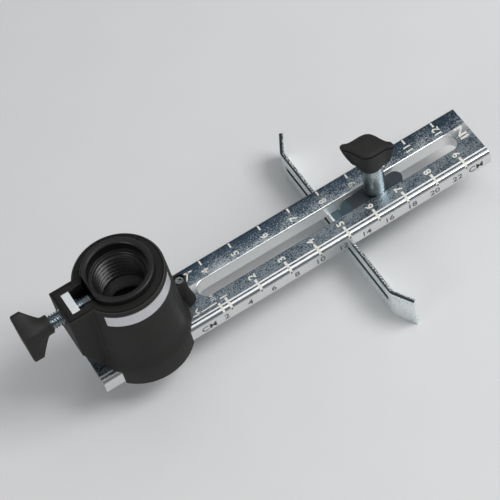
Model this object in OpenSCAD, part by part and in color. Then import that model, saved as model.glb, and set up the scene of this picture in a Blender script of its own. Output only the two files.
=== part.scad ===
// Circle cutting guide: a housing that carries the tool in a sliding threaded sleeve,
// fixed on a slotted steel guide bar, with an edge guide and its clamp post in the slot.
// Millimetres. The origin is on the housing's axis, in the plane of its foot.
// +X runs along the bar away from the housing, and +Z is up.

/* [Housing] */
// Radius of the foot ring
foot_r = 19.2; // [18.9:0.1:21]
// Radius of the wall where the flared skirt begins
wall_r = 17.9; // [17.4:0.1:18.4]
// Radius of the wall at the top face
top_r = 16.9; // [16.4:0.1:17.3]
// Height of the top face above the foot
housing_h = 44.2; // [43:0.1:50]
// Height of the line where the skirt begins
skirt_h = 12.8; // [11.5:0.1:16]
// Height of the straight rim at the foot
foot_rim = 8.4; // [6:0.1:10]
// Chamfer round the top face
top_chamfer = 0.5; // [0.2:0.1:0.8]
// Thickness of the skirt wall at the foot
skirt_wall = 2.6; // [2:0.1:3.2]
// Depth of the hollow in the foot beside the bar
foot_hollow = 5; // [2:0.1:6]
// Thickness of the floor between the bar and the sleeve bore
floor_t = 4; // [3:0.1:4.5]
// Radius of the nose opening in the floor
nose_r = 9.6; // [8:0.1:10.5]

/* [Clamp lug] */
// Distance of the lug's outer face from the axis
lug_reach = 24; // [23.6:0.1:27]
// Width of the lug
lug_w = 15.5; // [15:0.1:18]
// Height of the lug's outer face
lug_face_h = 20.9; // [18:0.1:24]
// Step from the housing's top face down to the lug's top
lug_step = 0.6; // [0.2:0.1:1]
// Slope of the lug's underside, as millimetres down per millimetre inwards
lug_slope = 2.25; // [2:0.05:2.4]
// Wall between the lug's outer face and the nut pocket
lug_wall = 2.7; // [2.3:0.1:3]
// Width of the gap that opens the bore toward the lug
gap_w = 8.8; // [7.8:0.1:9]

/* [Name plate recess] */
// Height of the blank plate
plate_h = 5.7; // [4:0.1:6.5]
// Distance from the top face down to the plate's upper edge
plate_drop = 1.9; // [1.6:0.1:2.4]
// Thickness of the plate
plate_t = 0.4; // [0.3:0.05:0.6]
// Angle at which the plate starts, anticlockwise from +X
plate_start = 223; // [220:1:228]
// Angle that the plate spans
plate_span = 106; // [80:1:106]
// Gap round the plate in its recess
plate_gap = 0.3; // [0.1:0.05:0.5]

/* [Depth sleeve] */
// Outer radius of the sleeve
sleeve_r = 13.2; // [12.8:0.05:13.4]
// Length of the sleeve
sleeve_l = 30; // [28:0.1:31]
// Height of the sleeve's rim above the housing's top face
sleeve_rise = 2.9; // [1:0.1:6]
// Radial clearance between sleeve and bore
sleeve_fit = 0.05; // [0.02:0.01:0.1]
// Radius of the counterbore for the tool's shoulder
socket_r = 10.9; // [10:0.05:11]
// Depth of that counterbore
socket_depth = 4.6; // [3:0.1:6]
// Radius over the crests of the nose thread
thread_r = 8.4; // [8:0.05:9]
// Length of the nose thread
thread_l = 13.6; // [10:0.1:15]
// Radius of the smooth bore below the thread
throat_r = 9.2; // [9:0.05:10]
// Radius of the opening in the sleeve's floor
sleeve_eye_r = 7.4; // [6:0.1:8]
// Thickness of the sleeve's floor
sleeve_floor = 2; // [1.5:0.1:3]
// Distance of the flat, that the clamp screw presses on, from the axis
flat_reach = 11.6; // [11.5:0.05:12.4]

/* [Clamp screw] */
// Depth of the screw's axis below the housing's top face
clamp_axis_drop = 5.3; // [5.2:0.1:6.2]
// Radius of the screw's thread
clamp_r = 2.9; // [2.5:0.1:3.2]
// Radial clearance of the screw in its nut and in the lug
clamp_fit = 0.04; // [0.02:0.01:0.1]
// Radial clearance of the screw in the lug's wall
lug_hole_clear = 0.35; // [0.2:0.05:0.5]
// Width across the flats of the square nut
nut_w = 9.2; // [8.8:0.1:9.4]
// Thickness of the square nut
nut_t = 3; // [2.5:0.1:3.1]
// Clearance round the nut in its pocket
nut_clear = 0.3; // [0.1:0.05:0.4]
// Length of bare thread between the lug and the wing
clamp_bare = 4.8; // [4:0.1:8]
// Depth of the screw's end in the wing
clamp_buried = 6; // [4:0.1:7]
// Gap between the screw's end and the sleeve's flat
clamp_gap = 0.05; // [0:0.01:0.2]

/* [Clamp wing] */
// Half the span of the wing
wing_a = 9.3; // [8:0.1:10]
// Half the breadth of the wing across its ridge
wing_b = 4.7; // [4.4:0.1:5.5]
// Length of the wing along the screw
wing_l = 11.2; // [10:0.1:14]
// Thickness of the wing's outer rim
wing_rim = 3.8; // [2:0.1:5]
// Radius of the wing's hub
wing_hub_r = 3.6; // [3.5:0.05:4.3]
// Length of the straight hub
wing_hub_l = 2.2; // [1:0.1:3]
// Angle of the wing's span above the horizontal
wing_turn = 45; // [0:5:90]

/* [Guide bar] */
// Width of the bar
bar_w = 25.4; // [25:0.1:25.6]
// Thickness of the bar's sheet
bar_t = 1.5; // [1.2:0.1:1.8]
// Height of the bar's section
bar_h = 6.2; // [5.6:0.1:6.8]
// Height of the bar's upper face above the foot
bar_top_h = 7.4; // [7:0.1:8]
// Radius of the bar's outer bends
bend_r = 1.7; // [1.6:0.1:2.4]
// Distance from the axis to the bar's end under the lug
bar_back = 22; // [21:0.1:30]
// Distance from the axis to the bar's far end
bar_front = 143.7; // [140:0.1:160]
// Width of the slot
slot_w = 7.2; // [7:0.05:7.6]
// Distance from the axis to the slot's first end centre
slot_start = 28.575; // [28:0.025:34]
// Distance from the axis to the slot's last end centre
slot_end = 133.35; // [130:0.05:136]
// Radius of the opening for the tool's bit
bit_r = 10; // [8:0.1:10.5]
// Side clearance of the bar in the housing
bar_side_fit = 0.1; // [0.05:0.05:0.2]

/* [Bar screws] */
// Distance from the axis to the front screw
front_screw_x = 19.7; // [19:0.1:20]
// Distance from the axis to the rear screw
rear_screw_x = 14.5; // [14:0.1:15]
// Radius of both screws
bar_screw_r = 1.1; // [1:0.05:1.2]
// Radius of their heads
bar_head_r = 1.6; // [1.5:0.05:1.7]
// Thickness of their heads
bar_head_t = 1.3; // [1.2:0.1:2]
// Radius of the front screw's boss
boss_r = 2.4; // [2.3:0.1:3]
// Height of the boss above the bar
boss_h = 14; // [11:0.1:16]
// Depth of the front screw's head below the boss's top
boss_sink = 0.8; // [0.4:0.1:1.2]
// Radius of the boss's foot on the bar
boss_foot_r = 3.8; // [3.2:0.1:4.2]
// Height of that foot, which narrows to the boss
boss_foot_h = 7; // [3:0.1:9]

/* [Edge guide] */
// Distance from the housing's axis to the clamp post, as shown
post_x = 101.35; // [80:0.05:112]
// Distance from the guide face back to the clamp post
guide_offset = 19.05; // [18.8:0.05:20]
// Thickness of the guide's sheet
guide_t = 1.5; // [1.2:0.1:1.6]
// Depth of the guide strip
guide_h = 15; // [12:0.1:18]
// Length of the straight part of the strip
guide_straight = 77; // [60:1:90]
// Length of each flared end
flare_l = 9.6; // [6:0.1:12]
// Angle of the flared ends
flare_angle = 29; // [20:1:35]
// Height of the pressed rib above the strip's lower edge
rib_z = 6.8; // [5:0.1:8]
// Radius of the pressed rib
rib_r = 0.9; // [0.8:0.05:1.2]
// Width of the tab under the bar
tab_w = 20; // [16:0.1:22]
// Length of the tab, from the strip to the rise
tab_l = 2.9; // [2.5:0.1:3.4]
// Length of the rise from the tab to the tongue
rise_l = 3; // [2.6:0.1:3.4]
// Width of the tongue that runs in the slot
tongue_w = 5.8; // [5.6:0.05:6.2]
// Distance of the tongue's face below the bar's upper face
tongue_drop = 1.5; // [1.2:0.1:1.8]
// Reach of the tongue's round nose beyond the post's axis
nose_reach = 11.3; // [9:0.1:12]

/* [Clamp post] */
// Radius of the polished post
post_r = 4.2; // [4.05:0.05:4.4]
// Length of post seen below the knob
post_l = 14.6; // [12:0.1:17]
// Gap under the post's shoulder before it is tightened on the bar
seat_gap = 0.05; // [0.02:0.01:0.2]
// Radius of the post's threaded shank
shank_r = 2.5; // [2.2:0.05:2.7]
// Radial clearance of the shank in its nut
shank_fit = 0.04; // [0.02:0.01:0.1]
// Radius of the nut's barrel in the slot
barrel_r = 3.3; // [3.2:0.05:3.4]
// Radius of the nut's flange under the bar
flange_r = 7; // [6:0.1:8]
// Thickness of the nut's flange
flange_t = 2.2; // [1.8:0.1:2.6]
// Radius of the pivot point
pivot_r = 1.6; // [1.2:0.05:1.8]
// Length of the pivot point's straight part
pivot_l = 4; // [3:0.1:6]
// Length of its cone
pivot_cone = 1.6; // [1:0.1:2]
// Radius of the post's head inside the knob
spigot_r = 3; // [2.6:0.1:3.2]
// Length of that head
spigot_l = 8; // [6:0.1:9]

/* [Knob] */
// Half the span of the knob
knob_a = 9.9; // [8.5:0.1:11]
// Half the breadth of the knob
knob_b = 5.3; // [5.3:0.1:6]
// Height of the knob
knob_h = 12; // [11:0.1:14]
// Thickness of the knob's rim
knob_rim = 3.8; // [2:0.1:5]
// Radius of the knob's neck
knob_neck_r = 5.2; // [4.9:0.05:5.3]
// Height of the knob's neck, which widens from the post
knob_neck_l = 1; // [0.6:0.1:2]
// Share of the knob's span that is left at a third of its height
knob_swell = 0.82; // [0.6:0.01:0.9]
// Angle of the knob's span, anticlockwise from +X
knob_turn = -34; // [-90:1:90]
// Half the breadth of the knob's and the wing's tips
tip_b = 1.3; // [1:0.1:1.6]

/* [Hidden] */

$fn = 96;
// A little more than nothing, so that cuts pass right through a face
eps = 0.5;

// Heights worked out from the bar
bar_bottom_h = bar_top_h - bar_h;
skin_under_h = bar_top_h - bar_t;
floor_top_h = bar_top_h + floor_t;
// The sleeve
sleeve_top_h = housing_h + sleeve_rise;
sleeve_bottom_h = sleeve_top_h - sleeve_l;
bore_r = sleeve_r + sleeve_fit;
thread_top_h = sleeve_top_h - socket_depth;
thread_bottom_h = thread_top_h - thread_l;
// The lug and what it holds
clamp_axis_h = housing_h - clamp_axis_drop;
gap_below_screw = 2.5;
lug_top_h = housing_h - lug_step;
pocket_x = lug_reach - lug_wall;
pocket_l = nut_t + 2 * nut_clear;
pocket_w = nut_w + 2 * nut_clear;
gap_floor_h = clamp_axis_h - clamp_r - gap_below_screw;
// The name plate
plate_top_h = housing_h - plate_drop;
plate_inset = 0.25;
plate_back_r = top_r - plate_inset;
plate_gap_turn = plate_gap / plate_back_r * 180 / PI;
// The edge guide
guide_x = post_x - guide_offset;
tab_top_h = bar_bottom_h;
tongue_top_h = bar_top_h - tongue_drop;
tongue_under_h = tongue_top_h - guide_t;
rise_x = guide_x + guide_t + tab_l;
strip_bottom_h = tab_top_h - guide_h;
// How far the rise reaches into the flats at both its ends
rise_lap = 0.6;
// Depth of the pressed groove, and how far its ends stay from the bends
groove_depth = 0.5;
rib_end_gap = 1;
// Clearance round screws in plain holes, and round the front screw's head
hole_clear = 0.1;
head_clear = 0.3;
// Hexagon socket in the bar screws, and how far the front one enters the bar
key_r = 0.9;
key_depth = 0.8;
screw_end = 1;
// Gap above the rear screw's end
screw_end_gap = 0.5;
// The knobs' common outline
outline_steps = 24;

// Half breadth of a knob's outline at the share t of its half span
function knob_edge(t, b) = tip_b + (b - tip_b) * (1 + cos(180 * t)) / 2;
// One long side of the outline, from the +X tip to the -X tip
function knob_side(a, b, side) =
    [for (i = [0:outline_steps])
        let (t = 1 - 2 * i / outline_steps)
        [(a - tip_b) * t * side, knob_edge(t, b) * side]];
// The rounded tip at one end, without the points it shares with the sides
function knob_tip(a, side) =
    [for (i = [1:5])
        let (w = 90 - 30 * i)
        [-side * ((a - tip_b) + tip_b * cos(w)), side * tip_b * sin(w)]];
function knob_outline(a, b) =
    concat(knob_side(a, b, 1), knob_tip(a, 1), knob_side(a, b, -1), knob_tip(a, -1));

// A quarter turn of the bar's bend about a centre, between two angles
function bend_arc(y, z, r, from, to) =
    [for (i = [0:6]) let (w = from + (to - from) * i / 6) [y + r * cos(w), z + r * sin(w)]];

// A stadium along X between two end centres, as wide as two radii
module stadium(x0, x1, r, z0, z1) {
    translate([x0, 0, z0]) cylinder(r = r, h = z1 - z0);
    translate([x1, 0, z0]) cylinder(r = r, h = z1 - z0);
    translate([x0, -r, z0]) cube([x1 - x0, 2 * r, z1 - z0]);
}

// A cylinder along X from x0 to x1 at a height
module rod_x(x0, x1, r, z) {
    translate([x0, 0, z]) rotate([0, 90, 0]) cylinder(r = r, h = x1 - x0);
}

// The lug's side view, thick from the outer face and running down into the wall
module lug_block() {
    inner = 10; // stays within the wall
    face_bottom_h = lug_top_h - lug_face_h;
    run = min(lug_reach - inner, face_bottom_h / lug_slope);
    rotate([90, 0, 0])
        linear_extrude(height = lug_w, center = true)
            polygon([[-lug_reach, lug_top_h],
                     [-lug_reach, face_bottom_h],
                     [-lug_reach + run, face_bottom_h - run * lug_slope],
                     [-inner, face_bottom_h - run * lug_slope],
                     [-inner, lug_top_h]]);
}

// Moulded plastic: skirted cylinder, clamp lug, screw boss
module housing() {
    color([0.16, 0.155, 0.15])
    difference() {
        union() {
            rotate_extrude()
                polygon([[0, 0], [foot_r, 0], [foot_r, foot_rim], [wall_r, skirt_h],
                         [top_r, housing_h - top_chamfer],
                         [top_r - top_chamfer, housing_h], [0, housing_h]]);
            lug_block();
            translate([front_screw_x, 0, bar_top_h]) cylinder(r = boss_r, h = boss_h);
            translate([front_screw_x, 0, bar_top_h])
                cylinder(r1 = boss_foot_r, r2 = boss_r, h = boss_foot_h);
            translate([bore_r, -boss_r, bar_top_h])
                cube([front_screw_x - bore_r, 2 * boss_r, boss_h]);
        }
        // Bore for the sleeve, and the nose opening in its floor
        translate([0, 0, floor_top_h]) cylinder(r = bore_r, h = housing_h);
        cylinder(r = nose_r, h = housing_h);
        // Hollow of the foot on both sides of the bar
        translate([0, 0, -eps]) cylinder(r = foot_r - skirt_wall, h = foot_hollow + eps);
        // Tunnel for the bar
        translate([-lug_reach - eps, -bar_w / 2 - bar_side_fit, -eps])
            cube([2 * lug_reach + 2 * eps, bar_w + 2 * bar_side_fit, bar_top_h + eps]);
        // Gap toward the lug, nut pocket and screw hole
        translate([-pocket_x + eps, -gap_w / 2, gap_floor_h])
            cube([pocket_x - eps, gap_w, housing_h]);
        translate([-pocket_x, -pocket_w / 2, clamp_axis_h - nut_w / 2])
            cube([pocket_l, pocket_w, housing_h]);
        rod_x(-lug_reach - eps, -pocket_x + eps, clamp_r + lug_hole_clear, clamp_axis_h);
        // Recess for the name plate
        rotate([0, 0, plate_start - plate_gap_turn])
            rotate_extrude(angle = plate_span + 2 * plate_gap_turn)
                translate([plate_back_r, plate_top_h - plate_h - plate_gap])
                    square([foot_r - plate_back_r, plate_h + 2 * plate_gap]);
        // Front screw: clearance through the boss and room for the head
        translate([front_screw_x, 0, bar_top_h - eps])
            cylinder(r = bar_screw_r + hole_clear, h = boss_h + 2 * eps);
        translate([front_screw_x, 0, bar_top_h + boss_h - bar_head_t - boss_sink])
            cylinder(r = bar_head_r + head_clear, h = bar_head_t + boss_sink + eps);
        // Rear screw, driven up into the floor
        translate([-rear_screw_x, 0, bar_top_h - eps])
            cylinder(r = bar_screw_r, h = eps + floor_t);
    }
}

// Bare plate let into the wall, round the front
module name_plate() {
    color([0.66, 0.66, 0.68])
    rotate([0, 0, plate_start])
        rotate_extrude(angle = plate_span)
            translate([plate_back_r, plate_top_h - plate_h])
                square([plate_t, plate_h]);
}

// Section of the bar's skin and outer flanges, in Y and Z
module bar_section() {
    half = bar_w / 2;
    inner_r = bend_r - bar_t;
    polygon(concat(
        [[-half, bar_bottom_h]],
        bend_arc(-half + bend_r, bar_top_h - bend_r, bend_r, 180, 90),
        bend_arc(half - bend_r, bar_top_h - bend_r, bend_r, 90, 0),
        [[half, bar_bottom_h], [half - bar_t, bar_bottom_h]],
        bend_arc(half - bend_r, bar_top_h - bend_r, inner_r, 0, 90),
        bend_arc(-half + bend_r, bar_top_h - bend_r, inner_r, 90, 180),
        [[-half + bar_t, bar_bottom_h]]));
}

// Pressed steel channel with a slot whose edges are turned down
module guide_bar() {
    color([0.62, 0.66, 0.70])
    difference() {
        union() {
            translate([-bar_back, 0, 0])
                rotate([90, 0, 90])
                    linear_extrude(height = bar_back + bar_front) bar_section();
            stadium(slot_start, slot_end, slot_w / 2 + bar_t, bar_bottom_h, bar_top_h);
        }
        stadium(slot_start, slot_end, slot_w / 2, bar_bottom_h - eps, bar_top_h + eps);
        translate([0, 0, -eps]) cylinder(r = bit_r, h = bar_top_h + 2 * eps);
        translate([front_screw_x, 0, bar_bottom_h]) cylinder(r = bar_screw_r, h = bar_h + eps);
        translate([-rear_screw_x, 0, bar_bottom_h])
            cylinder(r = bar_screw_r + hole_clear, h = bar_h + eps);
    }
}

// Long screw down through the boss into the bar
module bar_screw_front() {
    head_under_h = bar_top_h + boss_h - boss_sink - bar_head_t;
    color([0.55, 0.56, 0.58])
    translate([front_screw_x, 0, 0])
    difference() {
        union() {
            translate([0, 0, skin_under_h - screw_end])
                cylinder(r = bar_screw_r, h = head_under_h - skin_under_h + screw_end);
            translate([0, 0, head_under_h]) cylinder(r = bar_head_r, h = bar_head_t);
        }
        translate([0, 0, head_under_h + bar_head_t - key_depth])
            cylinder(r = key_r, h = key_depth + eps, $fn = 6);
    }
}

// Short screw up through the bar into the housing's floor
module bar_screw_rear() {
    shank_l = bar_t + floor_t - screw_end_gap;
    color([0.55, 0.56, 0.58])
    translate([-rear_screw_x, 0, 0])
    difference() {
        union() {
            translate([0, 0, skin_under_h]) cylinder(r = bar_screw_r, h = shank_l);
            translate([0, 0, skin_under_h - bar_head_t]) cylinder(r = bar_head_r, h = bar_head_t);
        }
        translate([0, 0, skin_under_h - bar_head_t - eps])
            cylinder(r = key_r, h = key_depth + eps, $fn = 6);
    }
}

// Moulded sleeve that carries the tool's nose and slides for depth
module depth_sleeve() {
    lip = 0.4;
    color([0.15, 0.145, 0.14])
    difference() {
        translate([0, 0, sleeve_bottom_h]) rotate_extrude()
            polygon([[0, 0], [sleeve_r - lip, 0], [sleeve_r, lip], [sleeve_r, sleeve_l - lip],
                     [sleeve_r - lip, sleeve_l], [0, sleeve_l]]);
        translate([0, 0, thread_top_h]) cylinder(r = socket_r, h = socket_depth + eps);
        translate([0, 0, thread_bottom_h - eps]) cylinder(r = thread_r, h = thread_l + 2 * eps);
        translate([0, 0, sleeve_bottom_h + sleeve_floor])
            cylinder(r = throat_r, h = thread_bottom_h - sleeve_bottom_h - sleeve_floor);
        translate([0, 0, sleeve_bottom_h - eps])
            cylinder(r = sleeve_eye_r, h = sleeve_floor + 2 * eps);
        // Flat for the clamp screw
        translate([-sleeve_r - flat_reach, -sleeve_r, sleeve_bottom_h - eps])
            cube([sleeve_r, 2 * sleeve_r, sleeve_l + 2 * eps]);
    }
}

// Square nut trapped in the lug
module clamp_nut() {
    color([0.82, 0.84, 0.86])
    difference() {
        translate([-pocket_x + nut_clear, -nut_w / 2, clamp_axis_h - nut_w / 2])
            cube([nut_t, nut_w, nut_w]);
        rod_x(-pocket_x, -pocket_x + pocket_l, clamp_r + clamp_fit, clamp_axis_h);
    }
}

// Threaded steel stud that presses on the sleeve's flat
module clamp_screw() {
    point = 0.8;
    root_x = -lug_reach - clamp_bare - clamp_buried;
    screw_l = -flat_reach - clamp_gap - root_x;
    color([0.70, 0.72, 0.75])
    translate([root_x, 0, clamp_axis_h]) rotate([0, 90, 0]) rotate_extrude()
        polygon([[0, 0], [clamp_r, 0], [clamp_r, screw_l - point],
                 [clamp_r - point, screw_l], [0, screw_l]]);
}

// A knob along +Z from its neck at the origin: neck, blend and rim with pointed ends
module knob_body(a, b, h, rim, neck_end_r, neck_r, neck_l, swell) {
    slice = 0.1;
    translate([0, 0, h - rim]) linear_extrude(height = rim) polygon(knob_outline(a, b));
    hull() {
        translate([0, 0, h - rim - slice])
            linear_extrude(height = slice) polygon(knob_outline(a, b));
        translate([0, 0, h / 3])
            linear_extrude(height = slice) polygon(knob_outline(a * swell, b * swell));
        translate([0, 0, neck_l]) cylinder(r = neck_r, h = slice, $fn = 32);
    }
    // The neck ends inside the blend's flat-sided lower end
    cylinder(r1 = neck_end_r, r2 = neck_r - slice, h = neck_l + slice);
}

// Moulded wing on the outer end of the stud
module clamp_wing() {
    color([0.16, 0.155, 0.15])
    translate([-lug_reach - clamp_bare, 0, clamp_axis_h])
        rotate([0, -90, 0]) rotate([0, 0, 90 - wing_turn])
            difference() {
                knob_body(wing_a, wing_b, wing_l, wing_rim,
                          wing_hub_r, wing_hub_r, wing_hub_l, 0.5);
                translate([0, 0, -eps])
                    cylinder(r = clamp_r + clamp_fit, h = clamp_buried + eps);
            }
}

// The strip's outline from above: straight, with both ends flared away from the housing
module strip_outline() {
    half = guide_straight / 2;
    square([guide_t, guide_straight], center = false);
    for (side = [0, 1])
        translate([0, side * guide_straight]) mirror([0, side]) mirror([0, 1])
            rotate(-flare_angle) square([guide_t, flare_l]);
}

// Bent steel guide: strip, tab under the bar, tongue raised into the slot
module edge_guide() {
    nose_x = post_x + nose_reach - tongue_w / 2;
    top_x = rise_x + rise_l;
    rib_half = guide_straight / 2 - rib_end_gap;
    color([0.66, 0.72, 0.74])
    difference() {
        union() {
            translate([guide_x, -guide_straight / 2, strip_bottom_h])
                linear_extrude(height = guide_h) strip_outline();
            translate([guide_x, -tab_w / 2, tab_top_h - guide_t])
                cube([guide_t + tab_l, tab_w, guide_t]);
            // Rise from the tab to the tongue
            translate([0, tongue_w / 2, 0]) rotate([90, 0, 0]) linear_extrude(height = tongue_w)
                polygon([[rise_x - rise_lap, tab_top_h - guide_t],
                         [rise_x, tab_top_h - guide_t],
                         [top_x, tongue_under_h], [top_x + rise_lap, tongue_under_h],
                         [top_x + rise_lap, tongue_top_h], [top_x - rise_lap, tongue_top_h],
                         [rise_x - rise_lap, tab_top_h]]);
            translate([top_x, -tongue_w / 2, tongue_under_h])
                cube([nose_x - top_x, tongue_w, guide_t]);
            translate([nose_x, 0, tongue_under_h]) cylinder(r = tongue_w / 2, h = guide_t);
            // Back of the pressed rib
            translate([guide_x + guide_t, -rib_half, strip_bottom_h + rib_z])
                rotate([-90, 0, 0]) cylinder(r = rib_r, h = 2 * rib_half);
        }
        // Groove of the pressed rib on the guide face
        translate([guide_x + groove_depth - rib_r, -rib_half, strip_bottom_h + rib_z])
            rotate([-90, 0, 0]) cylinder(r = rib_r, h = 2 * rib_half);
        // Hole for the post's shank
        translate([post_x, 0, tongue_under_h - eps])
            cylinder(r = shank_r + hole_clear, h = guide_t + 2 * eps);
    }
}

// Flanged nut under the tongue, its barrel between the slot's turned edges
module carriage_nut() {
    color([0.60, 0.62, 0.64])
    difference() {
        union() {
            translate([post_x, 0, bar_bottom_h - flange_t]) cylinder(r = flange_r, h = flange_t);
            translate([post_x, 0, bar_bottom_h - flange_t])
                cylinder(r = barrel_r, h = tongue_under_h - bar_bottom_h + flange_t);
        }
        translate([post_x, 0, bar_bottom_h - flange_t - eps])
            cylinder(r = shank_r + shank_fit, h = bar_h + flange_t);
    }
}

// Turned steel post: head in the knob, shoulder on the bar, threaded shank, pivot point
module pivot_post() {
    shank_below = 1;
    shank_bottom = bar_bottom_h - flange_t - shank_below;
    color([0.72, 0.74, 0.75])
    translate([post_x, 0, 0]) rotate_extrude()
        polygon([[0, shank_bottom - pivot_l - pivot_cone],
                 [pivot_r, shank_bottom - pivot_l], [pivot_r, shank_bottom],
                 [shank_r, shank_bottom], [shank_r, bar_top_h + seat_gap],
                 [post_r, bar_top_h + seat_gap], [post_r, bar_top_h + post_l],
                 [spigot_r, bar_top_h + post_l], [spigot_r, bar_top_h + post_l + spigot_l],
                 [0, bar_top_h + post_l + spigot_l]]);
}

// Moulded knob on the post's head
module post_knob() {
    color([0.16, 0.155, 0.15])
    translate([post_x, 0, bar_top_h + post_l]) rotate([0, 0, knob_turn])
        difference() {
            knob_body(knob_a, knob_b, knob_h, knob_rim,
                      post_r, knob_neck_r, knob_neck_l, knob_swell);
            translate([0, 0, -eps]) cylinder(r = spigot_r + shank_fit, h = spigot_l + eps);
        }
}

housing();
name_plate();
guide_bar();
bar_screw_front();
bar_screw_rear();
depth_sleeve();
clamp_nut();
clamp_screw();
clamp_wing();
edge_guide();
carriage_nut();
pivot_post();
post_knob();
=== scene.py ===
"""Looks of the circle cutting guide: a slotted steel bar with a housing for the tool,
an edge guide clamped in its slot, and their knobs. The frame of the CAD, +Z up."""
import math

import bmesh
import bpy
from mathutils import Matrix, Vector


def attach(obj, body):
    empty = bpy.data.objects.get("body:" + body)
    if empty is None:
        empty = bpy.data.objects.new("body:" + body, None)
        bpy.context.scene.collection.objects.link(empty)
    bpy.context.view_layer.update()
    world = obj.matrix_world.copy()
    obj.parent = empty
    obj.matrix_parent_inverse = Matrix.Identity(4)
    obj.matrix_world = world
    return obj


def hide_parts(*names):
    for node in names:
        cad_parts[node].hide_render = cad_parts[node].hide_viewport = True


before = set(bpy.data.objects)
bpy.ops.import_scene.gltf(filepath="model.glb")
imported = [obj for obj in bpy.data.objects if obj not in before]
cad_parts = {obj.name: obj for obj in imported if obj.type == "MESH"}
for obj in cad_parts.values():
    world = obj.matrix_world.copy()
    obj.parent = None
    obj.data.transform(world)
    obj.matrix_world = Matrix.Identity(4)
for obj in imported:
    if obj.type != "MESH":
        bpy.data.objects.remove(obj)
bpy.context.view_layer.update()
scene = bpy.context.scene


# Guide bar: a channel pressed from 1.5 mm steel strip, its long edges and the edges of its
# slot folded down, then zinc plated and left mottled blue and grey.
# The housing straddles its left end. Sizes here and below are in millimetres.
MM = 0.001
BAR_X0, BAR_X1 = -22.0, 143.7
BAR_TOP, BAR_UNDER, BAR_LOW = 7.4, 5.9, 1.2
BAR_HALF, BAR_SHEET, BAR_BEND = 12.7, 1.5, 1.7
SLOT_X0, SLOT_X1, SLOT_R, SLOT_BEND = 28.575, 133.35, 3.6, 0.45
BIT_HOLE_R = 10.0
LINE_OUTER, LINE_DEEPEST, LINE_INNER, LINE_DEPTH = 10.62, 10.22, 9.66, 0.16
STAY = 0.1  # width of the flat left beside a bend, so that the flats shade flat


def add(tree, kind, sockets=None, **settings):
    """Adds a node, with values or other nodes' sockets on its inputs."""
    made = tree.nodes.new(kind)
    for name, value in settings.items():
        setattr(made, name, value)
    for name, value in (sockets or {}).items():
        if isinstance(value, bpy.types.NodeSocket):
            tree.links.new(value, made.inputs[name])
        else:
            made.inputs[name].default_value = value
    return made


def calc(tree, operation, first, second=0.0, third=0.0):
    """The result of a Math node."""
    return add(tree, "ShaderNodeMath", {0: first, 1: second, 2: third},
               operation=operation).outputs[0]


def fade(tree, value, start, end, low=0.0, high=1.0):
    """A value that goes from low at start to high at end, and no further."""
    return add(tree, "ShaderNodeMapRange",
               {"Value": value, "From Min": start, "From Max": end,
                "To Min": low, "To Max": high}).outputs[0]


def band(tree, value, middle, outer, inner):
    """1 within inner of a middle value, and 0 beyond outer."""
    apart = calc(tree, "ABSOLUTE", calc(tree, "SUBTRACT", value, middle))
    return fade(tree, apart, outer, inner)


def mixed(tree, share, first, second):
    """Two colours mixed by a share."""
    return add(tree, "ShaderNodeMix", {0: share, 6: first, 7: second},
               data_type="RGBA").outputs[2]


def noise(tree, where, scale, detail=2.0, roughness=0.5):
    return add(tree, "ShaderNodeTexNoise",
               {"Vector": where, "Scale": scale, "Detail": detail,
                "Roughness": roughness}).outputs[0]


def stretched(tree, where, x=1.0, y=1.0, z=1.0):
    return add(tree, "ShaderNodeMapping", {"Vector": where, "Scale": (x, y, z)}).outputs[0]


def new_group(name, inputs, outputs):
    """An empty shader node group with its sockets, and its two end nodes."""
    group = bpy.data.node_groups.new(name, "ShaderNodeTree")
    for label, kind, value in inputs:
        socket = group.interface.new_socket(label, in_out="INPUT", socket_type=kind)
        if value is not None:
            socket.default_value = value
    for label, kind in outputs:
        group.interface.new_socket(label, in_out="OUTPUT", socket_type=kind)
    return group, group.nodes.new("NodeGroupInput"), group.nodes.new("NodeGroupOutput")


# Shared by every metal and plastic: rounded cut edges, and where they are.
edges, given, result = new_group(
    "rounded edges",
    [("Radius", "NodeSocketFloat", 0.0003)],
    [("Normal", "NodeSocketVector"), ("Worn", "NodeSocketFloat")])
rounded = add(edges, "ShaderNodeBevel", {"Radius": given.outputs["Radius"]}, samples=6)
facing = add(edges, "ShaderNodeNewGeometry")
agree = add(edges, "ShaderNodeVectorMath",
            {0: rounded.outputs[0], 1: facing.outputs["Normal"]}, operation="DOT_PRODUCT")
edges.links.new(rounded.outputs[0], result.inputs["Normal"])
edges.links.new(fade(edges, agree.outputs["Value"], 0.995, 0.9), result.inputs["Worn"])

# Shared by the zinc plated pieces: patches of blue-grey passivation with light speckle.
plating, given, result = new_group(
    "zinc plating",
    [("Vector", "NodeSocketVector", None), ("Dark", "NodeSocketColor", (0.1, 0.13, 0.17, 1)),
     ("Light", "NodeSocketColor", (0.7, 0.74, 0.76, 1)), ("Bias", "NodeSocketFloat", 0.0)],
    [("Color", "NodeSocketColor"), ("Roughness", "NodeSocketFloat"),
     ("Height", "NodeSocketFloat")])
along = stretched(plating, given.outputs["Vector"], 0.7, 1, 1)
clouds = noise(plating, along, 130, 3, 0.6)
patches = noise(plating, along, 800, 3, 0.6)
speckle = noise(plating, along, 2300, 2, 0.6)
sum_of = calc(plating, "ADD", calc(plating, "MULTIPLY", clouds, 0.55),
              calc(plating, "MULTIPLY", patches, 0.45))
sum_of = calc(plating, "ADD", sum_of, calc(plating, "MULTIPLY", speckle, 1.1))
sum_of = calc(plating, "ADD", sum_of, given.outputs["Bias"])
bright = fade(plating, sum_of, 0.99, 1.24)
plating.links.new(mixed(plating, bright, given.outputs["Dark"], given.outputs["Light"]),
                  result.inputs["Color"])
plating.links.new(fade(plating, bright, 0, 1, 0.26, 0.42), result.inputs["Roughness"])
plating.links.new(sum_of, result.inputs["Height"])


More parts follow.
